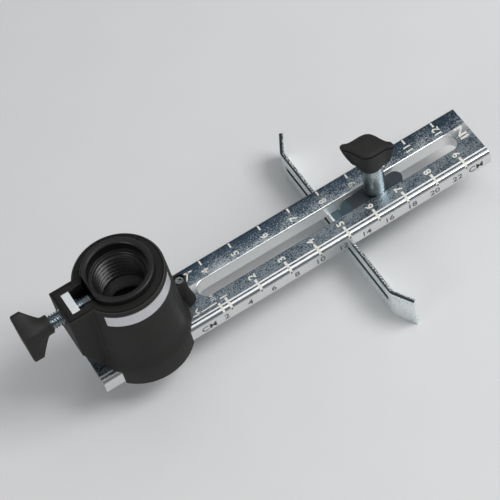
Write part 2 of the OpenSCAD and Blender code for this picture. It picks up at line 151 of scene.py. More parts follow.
def new_material(name, **plain):
    """A material with its tree, Principled shader, object coordinates and their parts.
    A plain value is set on the shader's socket of the same name."""
    made = bpy.data.materials.new(name)
    made.use_nodes = True
    tree = made.node_tree
    tree.nodes.clear()
    shader = add(tree, "ShaderNodeBsdfPrincipled")
    add(tree, "ShaderNodeOutputMaterial", {"Surface": shader.outputs[0]})
    for label, value in plain.items():
        shader.inputs[label.replace("_", " ").title().replace("Ior", "IOR")].default_value = value
    where = add(tree, "ShaderNodeTexCoord").outputs["Object"]
    parts = add(tree, "ShaderNodeSeparateXYZ", {0: where})
    return made, tree, shader, where, parts.outputs


def bumped(tree, shader, height, distance, strength=1.0, edge_radius=0.0):
    """Feeds the shader's normal with a height in metres. Given an edge radius, it rounds the
    edges as well and returns where they are."""
    bump = add(tree, "ShaderNodeBump", {"Height": height, "Distance": distance,
                                        "Strength": strength})
    worn = None
    if edge_radius:
        rim = add(tree, "ShaderNodeGroup", {"Radius": edge_radius}, node_tree=edges)
        tree.links.new(rim.outputs["Normal"], bump.inputs["Normal"])
        worn = rim.outputs["Worn"]
    tree.links.new(bump.outputs[0], shader.inputs["Normal"])
    return worn


bar_zinc, tree, shader, where, (x, y, z) = new_material("bar_zinc", metallic=1.0)
coat = add(tree, "ShaderNodeGroup",
           {"Vector": where, "Dark": (0.075, 0.115, 0.16, 1), "Light": (0.70, 0.76, 0.79, 1),
            "Bias": fade(tree, y, 0.0040, 0.0100, 0.09, -0.09)}, node_tree=plating)
DEEP_BLUE = (0.05, 0.085, 0.12, 1)
# The top is mixed toward deep blue on its far rail.
darker = fade(tree, y, 0.0060, 0.0110, 0.0, 0.55)
tone = mixed(tree, darker, coat.outputs["Color"], DEEP_BLUE)
# Painted shade: the top in front of the slot, and by the housing in its shadow, is darkened.
shaded = calc(tree, "MULTIPLY", fade(tree, y, 0.0, -0.0030), 0.48)
shaded = calc(tree, "MAXIMUM", shaded, fade(tree, x, 0.034, 0.026, 0.0, 0.5))
tone = mixed(tree, shaded, tone, DEEP_BLUE)
# The sides, the near fold and the slot's walls are pale and even: partly the plating's
# own tone, partly painted light for the bright floor and lamps that they reflect.
across = calc(tree, "ABSOLUTE", y)
side = fade(tree, across, 0.0124, 0.0127)
fold = calc(tree, "MULTIPLY", fade(tree, y, -0.0109, -0.0112),
            calc(tree, "SUBTRACT", 1.0, side))
wall = calc(tree, "MULTIPLY", fade(tree, across, 0.0038, 0.0036), fade(tree, z, 0.0070, 0.0066))
tone = mixed(tree, calc(tree, "MULTIPLY", calc(tree, "MAXIMUM", side, fold), 0.9), tone,
             (0.84, 0.84, 0.84, 1))
tone = mixed(tree, wall, tone, (0.92, 0.93, 0.93, 1))
# A painted dark band runs along the near fold: a painted reflection between its bright
# lines. The slot's far lip and the pressed line are painted bright, as painted highlights.
painted_dark_band = calc(tree, "MULTIPLY", fold, band(tree, z, 0.00695, 0.0004, 0.0001))
tone = mixed(tree, calc(tree, "MULTIPLY", painted_dark_band, 0.6), tone, (0.12, 0.13, 0.14, 1))
far_edge = calc(tree, "MULTIPLY", fade(tree, y, 0.0041, 0.0039), fade(tree, y, 0.0, 0.0030))
lip = calc(tree, "MULTIPLY", fade(tree, z, 0.0064, 0.0068), far_edge)
pressed = calc(tree, "MULTIPLY", fade(tree, y, -0.0095, -0.0097),
               fade(tree, y, -0.0103, -0.0101))
lightened = calc(tree, "MAXIMUM", lip, pressed)
tone = mixed(tree, calc(tree, "MULTIPLY", lightened, 0.85), tone, (0.93, 0.93, 0.92, 1))
even = calc(tree, "MAXIMUM", calc(tree, "MAXIMUM", side, wall), fold)
even = calc(tree, "MAXIMUM", even, lightened)
grained = calc(tree, "SUBTRACT", 1.0, even)
worn = bumped(tree, shader, calc(tree, "MULTIPLY", coat.outputs["Height"], grained), 0.00006,
              0.6, 0.0002)
scuff = noise(tree, where, 420, 3)
worn = calc(tree, "MULTIPLY", worn, fade(tree, scuff, 0.42, 0.6))
tree.links.new(mixed(tree, worn, tone, (0.9, 0.9, 0.88, 1)), shader.inputs["Base Color"])
matt = calc(tree, "ADD", calc(tree, "MULTIPLY", coat.outputs["Roughness"], grained),
            calc(tree, "MULTIPLY", even, 0.32))
tree.links.new(calc(tree, "SUBTRACT", matt, calc(tree, "MULTIPLY", fold, 0.17)),
               shader.inputs["Roughness"])
tree.links.new(fade(tree, wall, 0, 1, 1.0, 0.5), shader.inputs["Metallic"])


def stadium(bm, radius, z):
    """A loop of vertices round the slot's two end centres."""
    quarter = math.pi / 2
    loop = []
    for centre, inward, start in ((SLOT_X1, -STAY, -quarter), (SLOT_X0, STAY, quarter)):
        loop.append((centre + inward, math.copysign(radius, start), z))
        for k in range(21):
            turn = start + math.pi * k / 20
            loop.append((centre + radius * math.cos(turn), radius * math.sin(turn), z))
        loop.append((centre + inward, -math.copysign(radius, start), z))
    return [bm.verts.new(place) for place in loop]


def skin(bm, lower, upper, closed=True):
    """Joins two rows of vertices with faces."""
    count = len(lower)
    for k in range(count if closed else count - 1):
        ends = (k, (k + 1) % count)
        bm.faces.new((lower[ends[0]], lower[ends[1]], upper[ends[1]], upper[ends[0]]))


def loop_edges(bm, loop):
    """The edges round a loop of vertices, made where they are missing."""
    return [bm.edges.get(pair) or bm.edges.new(pair)
            for pair in zip(loop, loop[1:] + loop[:1])]


def make_piece(name, bm, body, slot_name, material, *stands_for, sharp=30):
    """Turns a shape in millimetres into a finished piece that rides on a body."""
    bmesh.ops.remove_doubles(bm, verts=bm.verts, dist=0.002)
    bmesh.ops.recalc_face_normals(bm, faces=bm.faces)
    for face in bm.faces:
        face.smooth = True
    for edge in bm.edges:
        if edge.is_manifold and edge.calc_face_angle() > math.radians(sharp):
            edge.smooth = False
    bmesh.ops.scale(bm, vec=(MM, MM, MM), verts=bm.verts)
    mesh = bpy.data.meshes.new(name)
    bm.to_mesh(mesh)
    bm.free()
    mesh.materials.append(material)
    piece = bpy.data.objects.new(name, mesh)
    scene.collection.objects.link(piece)
    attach(piece, body)
    if stands_for:
        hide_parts(*stands_for)
    return piece


def bar_half_section(reach, bend, top, line_depth=0.0):
    """Half of the channel's section, from the foot of its side to the top. A line of some
    depth is pressed in beside the bend."""
    centre_y, centre_z = BAR_HALF - BAR_BEND, BAR_TOP - BAR_BEND
    points = [(reach, BAR_LOW), (reach, centre_z - STAY)]
    for k in range(11):
        turn = math.radians(9 * k)
        points.append((centre_y + bend * math.cos(turn), centre_z + bend * math.sin(turn)))
    return points + [(centre_y - STAY, top), (LINE_OUTER, top),
                     (LINE_DEEPEST, top - line_depth), (LINE_INNER, top),
                     (LINE_INNER - STAY, top)]


bm = bmesh.new()
caps = []
for reach, bend, top in ((BAR_HALF, BAR_BEND, BAR_TOP),
                         (BAR_HALF - BAR_SHEET, BAR_BEND - BAR_SHEET, BAR_UNDER)):
    near_half = bar_half_section(reach, bend, top, LINE_DEPTH if top == BAR_TOP else 0.0)
    far_half = bar_half_section(reach, bend, top)
    section = [(-y_, z_) for y_, z_ in near_half] + [(y_, z_) for y_, z_ in reversed(far_half)]
    ends = [[bm.verts.new((x_, y_, z_)) for y_, z_ in section] for x_ in (BAR_X0, BAR_X1)]
    caps.append(ends)
    middle = len(far_half) - 1
    for k in range(len(section) - 1):
        if k != middle:
            bm.faces.new((ends[0][k], ends[0][k + 1], ends[1][k + 1], ends[1][k]))
    flat = [ends[0][middle], ends[0][middle + 1], ends[1][middle + 1], ends[1][middle]]
    lip_r = SLOT_R + (SLOT_BEND + STAY if top == BAR_TOP else BAR_SHEET)
    slot_loop = stadium(bm, lip_r, top)
    bit_loop = [bm.verts.new((BIT_HOLE_R * math.cos(math.tau * k / 96),
                              BIT_HOLE_R * math.sin(math.tau * k / 96), top)) for k in range(96)]
    borders = loop_edges(bm, flat) + loop_edges(bm, slot_loop) + loop_edges(bm, bit_loop)
    bmesh.ops.triangle_fill(bm, edges=borders, use_beauty=True)
    if top == BAR_TOP:
        upper_slot, upper_bit = slot_loop, bit_loop
    else:
        lower_slot, lower_bit = slot_loop, bit_loop
for outer, inner in zip(*caps):
    skin(bm, outer, inner, closed=False)
for end in (0, -1):
    bm.faces.new((caps[0][0][end], caps[0][1][end], caps[1][1][end], caps[1][0][end]))
skin(bm, upper_bit, lower_bit)
row = upper_slot
# The slot's edge: rounded over, then down its wall to the foot and back up behind.
lip = [(SLOT_R + SLOT_BEND - SLOT_BEND * math.sin(math.radians(10 * k)),
        BAR_TOP - SLOT_BEND + SLOT_BEND * math.cos(math.radians(10 * k))) for k in range(10)]
lip += [(SLOT_R, BAR_TOP - SLOT_BEND - STAY), (SLOT_R, BAR_LOW + 0.2), (SLOT_R + 0.2, BAR_LOW),
        (SLOT_R + BAR_SHEET, BAR_LOW)]
for radius, height in lip:
    following = stadium(bm, radius, height)
    skin(bm, row, following)
    row = following
skin(bm, row, lower_slot)
make_piece("slotted_bar", bm, "base", "plated_steel", bar_zinc, "guide_bar")


# Scale: inch ticks and numerals printed in cream paint on the bar's top and over its near
# bend, and a row of centimetre numerals in dark ink on the near side. They give the
# diameter of the circle that is cut.
INCH_STEP, CM_STEP = 12.7, 5.0  # along the bar for an inch or centimetre of diameter
POST_TO_PIVOT = 19.05
PAINT = 0.04  # how far the paint stands up
paint, tree, shader, where, _ = new_material("cream_paint", roughness=0.5)
chips = fade(tree, noise(tree, where, 1500, 3), 0.32, 0.44)
tree.links.new(mixed(tree, chips, (0.36, 0.38, 0.37, 1), (0.90, 0.88, 0.79, 1)),
               shader.inputs["Base Color"])
bumped(tree, shader, chips, 0.00002)
ink, tree, shader, where, _ = new_material("dark_ink", roughness=0.6)
tree.links.new(mixed(tree, fade(tree, noise(tree, where, 2400, 2), 0.35, 0.6),
                     (0.03, 0.032, 0.034, 1), (0.15, 0.155, 0.16, 1)), shader.inputs["Base Color"])
bumped(tree, shader, noise(tree, where, 3000), 0.00002)


def new_tree(name, inputs):
    """An empty Geometry Nodes tree with its sockets, and its two end nodes."""
    tree = bpy.data.node_groups.new(name, "GeometryNodeTree")
    tree.interface.new_socket("Geometry", in_out="INPUT", socket_type="NodeSocketGeometry")
    for label, kind, value in inputs:
        socket = tree.interface.new_socket(label, in_out="INPUT", socket_type=kind)
        if value is not None:
            socket.default_value = value
    tree.interface.new_socket("Geometry", in_out="OUTPUT", socket_type="NodeSocketGeometry")
    return tree, tree.nodes.new("NodeGroupInput").outputs, tree.nodes.new("NodeGroupOutput")


def end_tree(tree, shape, material, result):
    whole = add(tree, "GeometryNodeRealizeInstances", {0: shape})
    dressed = add(tree, "GeometryNodeSetMaterial",
                  {"Geometry": whole.outputs[0], "Material": material})
    tree.links.new(dressed.outputs[0], result.inputs[0])


def grown(tree, values):
    """The plain mesh that a tree makes with these named values."""
    holder = bpy.data.objects.new("holder", bpy.data.meshes.new("holder"))
    scene.collection.objects.link(holder)
    modifier = holder.modifiers.new("tree", "NODES")
    modifier.node_group = tree
    for item in tree.interface.items_tree:
        if item.in_out == "INPUT" and item.name in values:
            modifier[item.identifier] = values[item.name]
    depsgraph = bpy.context.evaluated_depsgraph_get()
    mesh = bpy.data.meshes.new_from_object(holder.evaluated_get(depsgraph))
    holder.modifiers.remove(modifier)
    bpy.data.objects.remove(holder)
    return mesh


# A row of painted ticks that lie on the flat and run on over the fold.
ticks, given, result = new_tree("tick_row", [
    ("First", "NodeSocketFloat", 0.0), ("Pitch", "NodeSocketFloat", INCH_STEP),
    ("Count", "NodeSocketInt", 9), ("Width", "NodeSocketFloat", 0.8),
    ("Inner end", "NodeSocketFloat", 8.0), ("Length", "NodeSocketFloat", 4.0),
    ("Fold at", "NodeSocketFloat", 11.0), ("Fold radius", "NodeSocketFloat", 1.7),
    ("Side", "NodeSocketFloat", -1.0), ("Height", "NodeSocketFloat", 7.4),
    ("Material", "NodeSocketMaterial", None)])
bar_size = add(ticks, "ShaderNodeCombineXYZ",
               {0: given["Width"], 1: given["Length"], 2: 2 * PAINT})
tick = add(ticks, "GeometryNodeMeshCube",
           {"Size": bar_size.outputs[0], "Vertices X": 2, "Vertices Y": 14, "Vertices Z": 2})
spot = add(ticks, "ShaderNodeSeparateXYZ",
           {0: add(ticks, "GeometryNodeInputPosition").outputs[0]}).outputs
outward = calc(ticks, "ADD", calc(ticks, "ADD", spot[1], given["Inner end"]),
               calc(ticks, "MULTIPLY", given["Length"], 0.5))
past = calc(ticks, "MAXIMUM", calc(ticks, "SUBTRACT", outward, given["Fold at"]), 0.0)
bent = calc(ticks, "DIVIDE", past, given["Fold radius"])
arm = calc(ticks, "ADD", given["Fold radius"], spot[2])
reach = calc(ticks, "ADD", calc(ticks, "MINIMUM", outward, given["Fold at"]),
             calc(ticks, "MULTIPLY", arm, calc(ticks, "SINE", bent)))
rise = calc(ticks, "SUBTRACT", calc(ticks, "MULTIPLY", arm, calc(ticks, "COSINE", bent)),
            given["Fold radius"])
curved = add(ticks, "ShaderNodeCombineXYZ",
             {0: spot[0], 1: calc(ticks, "MULTIPLY", reach, given["Side"]),
              2: calc(ticks, "ADD", rise, given["Height"])})
tick = add(ticks, "GeometryNodeSetPosition",
           {"Geometry": tick.outputs[0], "Position": curved.outputs[0]})
places = add(ticks, "GeometryNodeMeshLine",
             {"Count": given["Count"],
              "Start Location": add(ticks, "ShaderNodeCombineXYZ",
                                    {0: given["First"]}).outputs[0],
              "Offset": add(ticks, "ShaderNodeCombineXYZ", {0: given["Pitch"]}).outputs[0]})
rowed = add(ticks, "GeometryNodeInstanceOnPoints",
            {"Points": places.outputs[0], "Instance": tick.outputs[0]})
end_tree(ticks, rowed.outputs[0], given["Material"], result)


def print_text(bm, words, size, origin, reading, upward, wide=1.0, bold=0.0):
    """Sets a line of numerals or capitals, centred on a place, as a thin raised print."""
    curve = bpy.data.curves.new("words", "FONT")
    curve.body = words
    curve.size = size
    curve.align_x = "CENTER"
    curve.align_y = "CENTER"
    curve.extrude = PAINT
    curve.offset = bold
    curve.resolution_u = 4
    holder = bpy.data.objects.new("words", curve)
    scene.collection.objects.link(holder)
    depsgraph = bpy.context.evaluated_depsgraph_get()
    mesh = bpy.data.meshes.new_from_object(holder.evaluated_get(depsgraph))
    bpy.data.objects.remove(holder)
    reading, upward = Vector(reading), Vector(upward)
    turn = Matrix((reading * wide, upward, reading.cross(upward))).transposed().to_4x4()
    mesh.transform(Matrix.Translation(origin) @ turn)
    bm.from_mesh(mesh)


def print_stroke(bm, points, width):
    """A painted line on the bar's top through some points."""
    for (x0, y0), (x1, y1) in zip(points, points[1:]):
        run = Vector((x1 - x0, y1 - y0, 0))
        turn = Matrix.Rotation(math.atan2(run.y, run.x), 4, "Z")
        size = Matrix.Diagonal((run.length + width, width, 2 * PAINT, 1))
        middle = Matrix.Translation(((x0 + x1) / 2, (y0 + y1) / 2, BAR_TOP))
        bmesh.ops.create_cube(bm, size=1, matrix=middle @ turn @ size)


bm = bmesh.new()
first_tick = INCH_STEP + POST_TO_PIVOT
for values in ({"First": first_tick, "Inner end": 7.9, "Length": 5.1, "Width": 1.0},
               {"First": 0.75 * INCH_STEP + POST_TO_PIVOT, "Count": 1, "Inner end": 8.6,
                "Length": 4.4, "Width": 0.9},
               {"First": first_tick, "Inner end": 9.4, "Length": 2.2, "Side": 1.0,
                "Width": 0.7}):
    values["Material"] = paint
    bm.from_mesh(grown(ticks, values))
TOWARD_FAR, TOWARD_HOUSING = (0, 1, 0), (-1, 0, 0)
print_text(bm, "3/4", 2.5, (28.0, -5.2, BAR_TOP), TOWARD_FAR, TOWARD_HOUSING)
for inches in range(1, 10):
    lower = first_tick + INCH_STEP * (inches - 1)
    print_text(bm, str(inches), 4.1, (lower - 0.15, -7.2 if inches == 1 else -6.2, BAR_TOP),
               TOWARD_FAR, TOWARD_HOUSING, bold=0.1)
    print_text(bm, str(inches + 3), 4.1, (lower, 6.9 if inches > 6 else 6.3, BAR_TOP),
               TOWARD_FAR, TOWARD_HOUSING, bold=0.1)
print_text(bm, "IN", 4.8, (140.4, 1.0, BAR_TOP), TOWARD_FAR, TOWARD_HOUSING, 1.25, 0.09)
print_stroke(bm, [(24.1, 9.7), (27.3, 9.5)], 0.6)
print_stroke(bm, [(25.8, 9.6), (24.0, 6.6)], 0.6)
print_stroke(bm, [(18.4, -8.2), (27.9, -7.9)], 0.55)
print_stroke(bm, [(21.0, -6.0), (19.6, -7.0), (21.4, -8.1)], 0.5)
make_piece("inch_scale", bm, "base", "plated_steel", paint)

bm = bmesh.new()
ALONG_BAR, UP = (1, 0, 0), (0, 0, 1)
centimetres = [(str(n), CM_STEP * n + POST_TO_PIVOT) for n in range(2, 23, 2)]
for words, place in [("CM", 21.6), ("CM", 137.2)] + centimetres:
    print_text(bm, words, 3.8, (place, -BAR_HALF, 3.3), ALONG_BAR, UP, 1.15, 0.035)
# Short dark ticks on the flange below each inch tick: painted shadows of the inch ticks.
bm.from_mesh(grown(ticks, {"First": first_tick, "Inner end": 12.75, "Length": 1.0,
                           "Width": 0.5, "Material": ink}))
make_piece("centimetre_scale", bm, "base", "plated_steel", ink)


# Housing: one black glass-filled nylon moulding, matt with a fine grain, with a split clamp
# lug, a pocket for the nut and a boss for the bar screw. Screws hold it on the bar.
def plastic(name, tone, grain, gloss):
    """Moulded black plastic: its material, tree, shader and coordinates, and the height of
    its grain and its dusty colour, which finish_plastic feeds to the shader."""
    made, tree, shader, where, parts = new_material(name, specular_ior_level=gloss)
    height = calc(tree, "MULTIPLY", noise(tree, where, 4200, 3, 0.6), grain)
    broad = fade(tree, noise(tree, where, 120, 2), 0.3, 0.7)
    fine = fade(tree, noise(tree, where, 1500, 3, 0.7), 0.4, 0.62)
    dusty = calc(tree, "ADD", calc(tree, "MULTIPLY", broad, 0.4),
                 calc(tree, "MULTIPLY", fine, 0.6))
    light = tuple(1.7 * c for c in tone)
    return made, tree, shader, parts, height, mixed(tree, dusty, tone + (1,), light + (1,))


def finish_plastic(tree, shader, height, colour, rough, edge_radius, rub):
    """Rounds the plastic's edges and rubs them a little lighter and smoother."""
    worn = bumped(tree, shader, height, 0.0001, 1.0, edge_radius)
    lightened = calc(tree, "MULTIPLY", worn, rub)
    tree.links.new(mixed(tree, lightened, colour, (0.11, 0.108, 0.104, 1)),
                   shader.inputs["Base Color"])
    tree.links.new(calc(tree, "SUBTRACT", rough, calc(tree, "MULTIPLY", lightened, 0.12)),
                   shader.inputs["Roughness"])


# Its top has a line pressed in round the bore and the lug, and ejector pin marks, with
# painted shade in both and a painted highlight beside the line. The skirt gets painted light.
housing_plastic, tree, shader, (x, y, z), height, colour = plastic(
    "housing_plastic", (0.0112, 0.0104, 0.0095), grain=0.5, gloss=0.25)
TOP_LINE_R, LINE_HALF = 0.0158, 0.0003
radius = calc(tree, "SQRT", calc(tree, "ADD", calc(tree, "MULTIPLY", x, x),
                                 calc(tree, "MULTIPLY", y, y)))
near_lug = calc(tree, "MULTIPLY", calc(tree, "LESS_THAN", x, -0.0135),
                calc(tree, "LESS_THAN", calc(tree, "ABSOLUTE", y), 0.00785))
on_top = calc(tree, "GREATER_THAN", z, 0.04355)
round_line = band(tree, radius, TOP_LINE_R, LINE_HALF, LINE_HALF / 2)
beside_lug = calc(tree, "MAXIMUM", calc(tree, "SUBTRACT", calc(tree, "ABSOLUTE", y), 0.00695),
                  calc(tree, "SUBTRACT", calc(tree, "MULTIPLY", x, -1.0), 0.0232))
lug_line = band(tree, beside_lug, 0.0, LINE_HALF, LINE_HALF / 2)
off_lug = calc(tree, "SUBTRACT", 1.0, near_lug)
line = calc(tree, "ADD", calc(tree, "MULTIPLY", lug_line, near_lug),
            calc(tree, "MULTIPLY", round_line, off_lug))
dimples = None
for place in ((-0.0110, 0.0088), (0.0005, 0.0157), (0.0123, 0.0083), (-0.0113, -0.0072)):
    apart = calc(tree, "SQRT", calc(tree, "ADD",
                                    calc(tree, "POWER", calc(tree, "SUBTRACT", x, place[0]), 2),
                                    calc(tree, "POWER", calc(tree, "SUBTRACT", y, place[1]), 2)))
    pit = fade(tree, apart, 0.0007, 0.0005)
    dimples = pit if dimples is None else calc(tree, "ADD", dimples, pit)
sunk = calc(tree, "MULTIPLY", calc(tree, "ADD", line, dimples), on_top)
height = calc(tree, "SUBTRACT", height, calc(tree, "MULTIPLY", sunk, 2.5))
# Painted shade: the pressed line and the pin marks are darkened.
colour = mixed(tree, calc(tree, "MULTIPLY", sunk, 0.8), colour, (0.004, 0.004, 0.004, 1))
# Painted highlight: a light band beside the line, where the top's edge catches light.
rim_highlight = band(tree, radius, TOP_LINE_R + 2 * LINE_HALF, LINE_HALF, LINE_HALF / 2)
rim_highlight = calc(tree, "MULTIPLY", on_top, calc(tree, "MULTIPLY", rim_highlight, off_lug))
colour = mixed(tree, calc(tree, "MULTIPLY", rim_highlight, 0.6), colour, (0.045, 0.043, 0.04, 1))
# Painted light: the skirt is lighter toward the bottom, where its flare catches light.
colour = mixed(tree, fade(tree, z, 0.016, 0.008, 0.0, 0.6), colour, (0.026, 0.024, 0.023, 1))
finish_plastic(tree, shader, height, colour, rough=0.6, edge_radius=0.00035, rub=0.5)


def smooth_copy(node, body, slot_name, material, sharp=30):
    """The CAD's own shape of a node, merged and shaded smooth."""
    bm = bmesh.new()
    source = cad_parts[node]
    bm.from_mesh(source.data)
    bm.transform(source.matrix_world)
    bmesh.ops.scale(bm, vec=(1 / MM,) * 3, verts=bm.verts)
    return make_piece(node + "_finished", bm, body, slot_name, material, node, sharp=sharp)


smooth_copy("housing", "base", "black_plastic", housing_plastic, sharp=20)


# Name plate: a strip of thin satin aluminium, left bare, glued into its recess round the
# front of the housing.
plate_metal, tree, shader, where, _ = new_material("plate_metal", metallic=0.85)
brushed = noise(tree, stretched(tree, where, 1, 1, 30), 160, 3)
tree.links.new(mixed(tree, brushed, (0.58, 0.58, 0.61, 1), (0.76, 0.76, 0.79, 1)),
               shader.inputs["Base Color"])
tree.links.new(fade(tree, brushed, 0.3, 0.7, 0.38, 0.5), shader.inputs["Roughness"])
bumped(tree, shader, brushed, 0.00002, 1.0, 0.0001)
smooth_copy("name_plate", "base", "plate_metal", plate_metal)


# Depth sleeve: a black moulded sleeve that slides in the housing. The tool's nose screws
# into its coarse inner thread, and its flat faces the clamp screw.
SLEEVE_TOP, SLEEVE_LOW, SLEEVE_R = 47.1, 17.1, 13.2
SOCKET_R, SOCKET_Z, THREAD_Z = 10.9, 42.5, 28.9
NOSE_ROOT_R, NOSE_CREST_R, NOSE_PITCH = 9.525, 8.4, 25.4 / 12
THROAT_R, EYE_R, EYE_Z, FLAT_X = 9.2, 7.4, 19.1, -11.6
AROUND = 144

# A screw thread on a cylinder along Z: its radius goes from bare to crest and back.
thread, given, result = new_tree("screw_thread", [
    ("Bare radius", "NodeSocketFloat", 9.5), ("Crest radius", "NodeSocketFloat", 8.4),
    ("Pitch", "NodeSocketFloat", 2.0), ("Length", "NodeSocketFloat", 13.0),
    ("Start", "NodeSocketFloat", 0.0), ("Fade", "NodeSocketFloat", 1.0),
    ("Columns", "NodeSocketInt", 145), ("Rows", "NodeSocketInt", 100),
    ("Material", "NodeSocketMaterial", None)])
sheet = add(thread, "GeometryNodeMeshGrid",
            {"Size X": 1.0, "Size Y": 1.0, "Vertices X": given["Columns"],
             "Vertices Y": given["Rows"]})
spot = add(thread, "ShaderNodeSeparateXYZ",
           {0: add(thread, "GeometryNodeInputPosition").outputs[0]}).outputs
turn = calc(thread, "ADD", spot[0], 0.5)
up = calc(thread, "MULTIPLY", calc(thread, "ADD", spot[1], 0.5), given["Length"])
phase = calc(thread, "FRACT", calc(thread, "SUBTRACT",
                                   calc(thread, "DIVIDE", up, given["Pitch"]), turn))
flank = calc(thread, "ABSOLUTE", calc(thread, "SUBTRACT", phase, 0.5))
ridge = fade(thread, flank, 0.42, 0.07)
ends = calc(thread, "MINIMUM", up, calc(thread, "SUBTRACT", given["Length"], up))
ends = calc(thread, "DIVIDE", ends, given["Fade"])
ends = calc(thread, "MINIMUM", calc(thread, "MAXIMUM", ends, 0.0), 1.0)
deep = calc(thread, "SUBTRACT", given["Crest radius"], given["Bare radius"])
radius = calc(thread, "ADD", given["Bare radius"],
              calc(thread, "MULTIPLY", calc(thread, "MULTIPLY", ridge, ends), deep))
angle = calc(thread, "MULTIPLY", turn, math.tau)
wound = add(thread, "ShaderNodeCombineXYZ",
            {0: calc(thread, "MULTIPLY", radius, calc(thread, "COSINE", angle)),
             1: calc(thread, "MULTIPLY", radius, calc(thread, "SINE", angle)),
             2: calc(thread, "ADD", up, given["Start"])})
placed = add(thread, "GeometryNodeSetPosition",
             {"Geometry": sheet.outputs[0], "Position": wound.outputs[0]})
end_tree(thread, placed.outputs[0], given["Material"], result)


def lathe(bm, profile, around):
    """Turns a profile of radius and height round Z."""
    rings = []
    for radius, height in profile:
        count = around if radius else 1
        rings.append([bm.verts.new((radius * math.cos(math.tau * k / around),
                                    radius * math.sin(math.tau * k / around), height))
                      for k in range(count)])
    for low, high in zip(rings, rings[1:]):
        for k in range(around):
            corners = [low[k % len(low)], low[(k + 1) % around % len(low)],
                       high[(k + 1) % around % len(high)], high[k % len(high)]]
            bm.faces.new(list(dict.fromkeys(corners)))


def quarter_round(radius, height, r, steps=5):
    """A quarter round of a profile about a centre, from its side to its top."""
    return [(radius + r * math.cos(math.radians(90 * k / steps)),
             height + r * math.sin(math.radians(90 * k / steps)))
            for k in range(steps + 1)]


sleeve_plastic, tree, shader, _, height, colour = plastic(
    "sleeve_plastic", (0.0065, 0.006, 0.0058), grain=0.25, gloss=0.45)
finish_plastic(tree, shader, height, colour, rough=0.34, edge_radius=0.0002, rub=0.6)
bm = bmesh.new()
outside = [(EYE_R, SLEEVE_LOW), (SLEEVE_R - 0.5, SLEEVE_LOW), (SLEEVE_R, SLEEVE_LOW + 0.5),
           (SLEEVE_R, SLEEVE_TOP - 1.5),
           *quarter_round(SLEEVE_R - 0.5, SLEEVE_TOP - 0.5, 0.5),
           (SLEEVE_R - 0.6, SLEEVE_TOP), (SOCKET_R + 0.55, SLEEVE_TOP),
           (SOCKET_R + 0.4, SLEEVE_TOP - 0.05), (SOCKET_R, SLEEVE_TOP - 0.45),
           (SOCKET_R, SLEEVE_TOP - 0.6), (SOCKET_R, SOCKET_Z + 0.3),
           (SOCKET_R - 0.1, SOCKET_Z + 0.05), (SOCKET_R - 0.3, SOCKET_Z),
           (NOSE_ROOT_R + 0.3, SOCKET_Z), (NOSE_ROOT_R, SOCKET_Z - 0.3)]
inside = [(NOSE_ROOT_R, THREAD_Z), (THROAT_R, THREAD_Z - 0.4), (THROAT_R, EYE_Z + 0.3),
          (THROAT_R - 0.3, EYE_Z), (EYE_R + 0.2, EYE_Z), (EYE_R, EYE_Z - 0.2),
          (EYE_R, SLEEVE_LOW)]
lathe(bm, outside, AROUND)
lathe(bm, inside, AROUND)
bm.from_mesh(grown(thread, {"Bare radius": NOSE_ROOT_R, "Crest radius": NOSE_CREST_R,
                            "Pitch": NOSE_PITCH, "Length": SOCKET_Z - 0.3 - THREAD_Z,
                            "Start": THREAD_Z, "Fade": 1.2, "Columns": AROUND + 1,
                            "Rows": 120, "Material": sleeve_plastic}))
for vertex in bm.verts:
    vertex.co.x = max(vertex.co.x, FLAT_X)
make_piece("sliding_sleeve", bm, "sleeve", "black_plastic", sleeve_plastic, "depth_sleeve",
           sharp=26)


# Clamp nut: a plain square nut, bright zinc plated, dropped into the lug's pocket, which
# keeps it from turning.
nut_zinc, tree, shader, where, _ = new_material("nut_zinc", metallic=0.3)
coat = add(tree, "ShaderNodeGroup",
           {"Vector": where, "Dark": (0.82, 0.87, 0.87, 1), "Light": (0.96, 0.98, 0.97, 1)},
           node_tree=plating)
worn = bumped(tree, shader, coat.outputs["Height"], 0.00005, 0.5, 0.0003)
tree.links.new(mixed(tree, worn, coat.outputs["Color"], (0.95, 0.97, 0.97, 1)),
               shader.inputs["Base Color"])
tree.links.new(fade(tree, coat.outputs["Height"], 0.9, 1.4, 0.35, 0.5),
               shader.inputs["Roughness"])
smooth_copy("clamp_nut", "base", "bright_steel", nut_zinc)


# Clamp screw: an M6 stud with a rolled thread, zinc plated, moulded into the wing. It runs
# through the nut and presses on the sleeve's flat.
CLAMP_Z = 38.9
STUD_X0, STUD_X1, STUD_CREST, STUD_ROOT, STUD_PITCH = -34.8, -11.65, 2.9, 2.35, 1.0
STUD_TIP = 0.8  # length of its plain end
stud_zinc, tree, shader, where, _ = new_material("stud_zinc", metallic=1.0)
coat = add(tree, "ShaderNodeGroup",
           {"Vector": where, "Dark": (0.28, 0.33, 0.36, 1), "Light": (0.50, 0.55, 0.58, 1)},
           node_tree=plating)
tree.links.new(coat.outputs["Color"], shader.inputs["Base Color"])
tree.links.new(fade(tree, coat.outputs["Height"], 0.9, 1.4, 0.13, 0.2),
               shader.inputs["Roughness"])
bumped(tree, shader, coat.outputs["Height"], 0.00003, 0.15, 0.00006)
STUD_AROUND = 48
bm = bmesh.new()
stud_l = STUD_X1 - STUD_X0
bm.from_mesh(grown(thread, {"Bare radius": STUD_ROOT, "Crest radius": STUD_CREST,
                            "Pitch": STUD_PITCH, "Length": stud_l - STUD_TIP, "Start": 0.0,
                            "Fade": 0.8, "Columns": STUD_AROUND + 1, "Rows": 270,
                            "Material": stud_zinc}))
lathe(bm, [(0, 0), (STUD_ROOT, 0)], STUD_AROUND)
lathe(bm, [(STUD_ROOT, stud_l - STUD_TIP), (STUD_ROOT - 0.1, stud_l - 0.3),
           (STUD_ROOT - 0.4, stud_l), (0, stud_l)], STUD_AROUND)
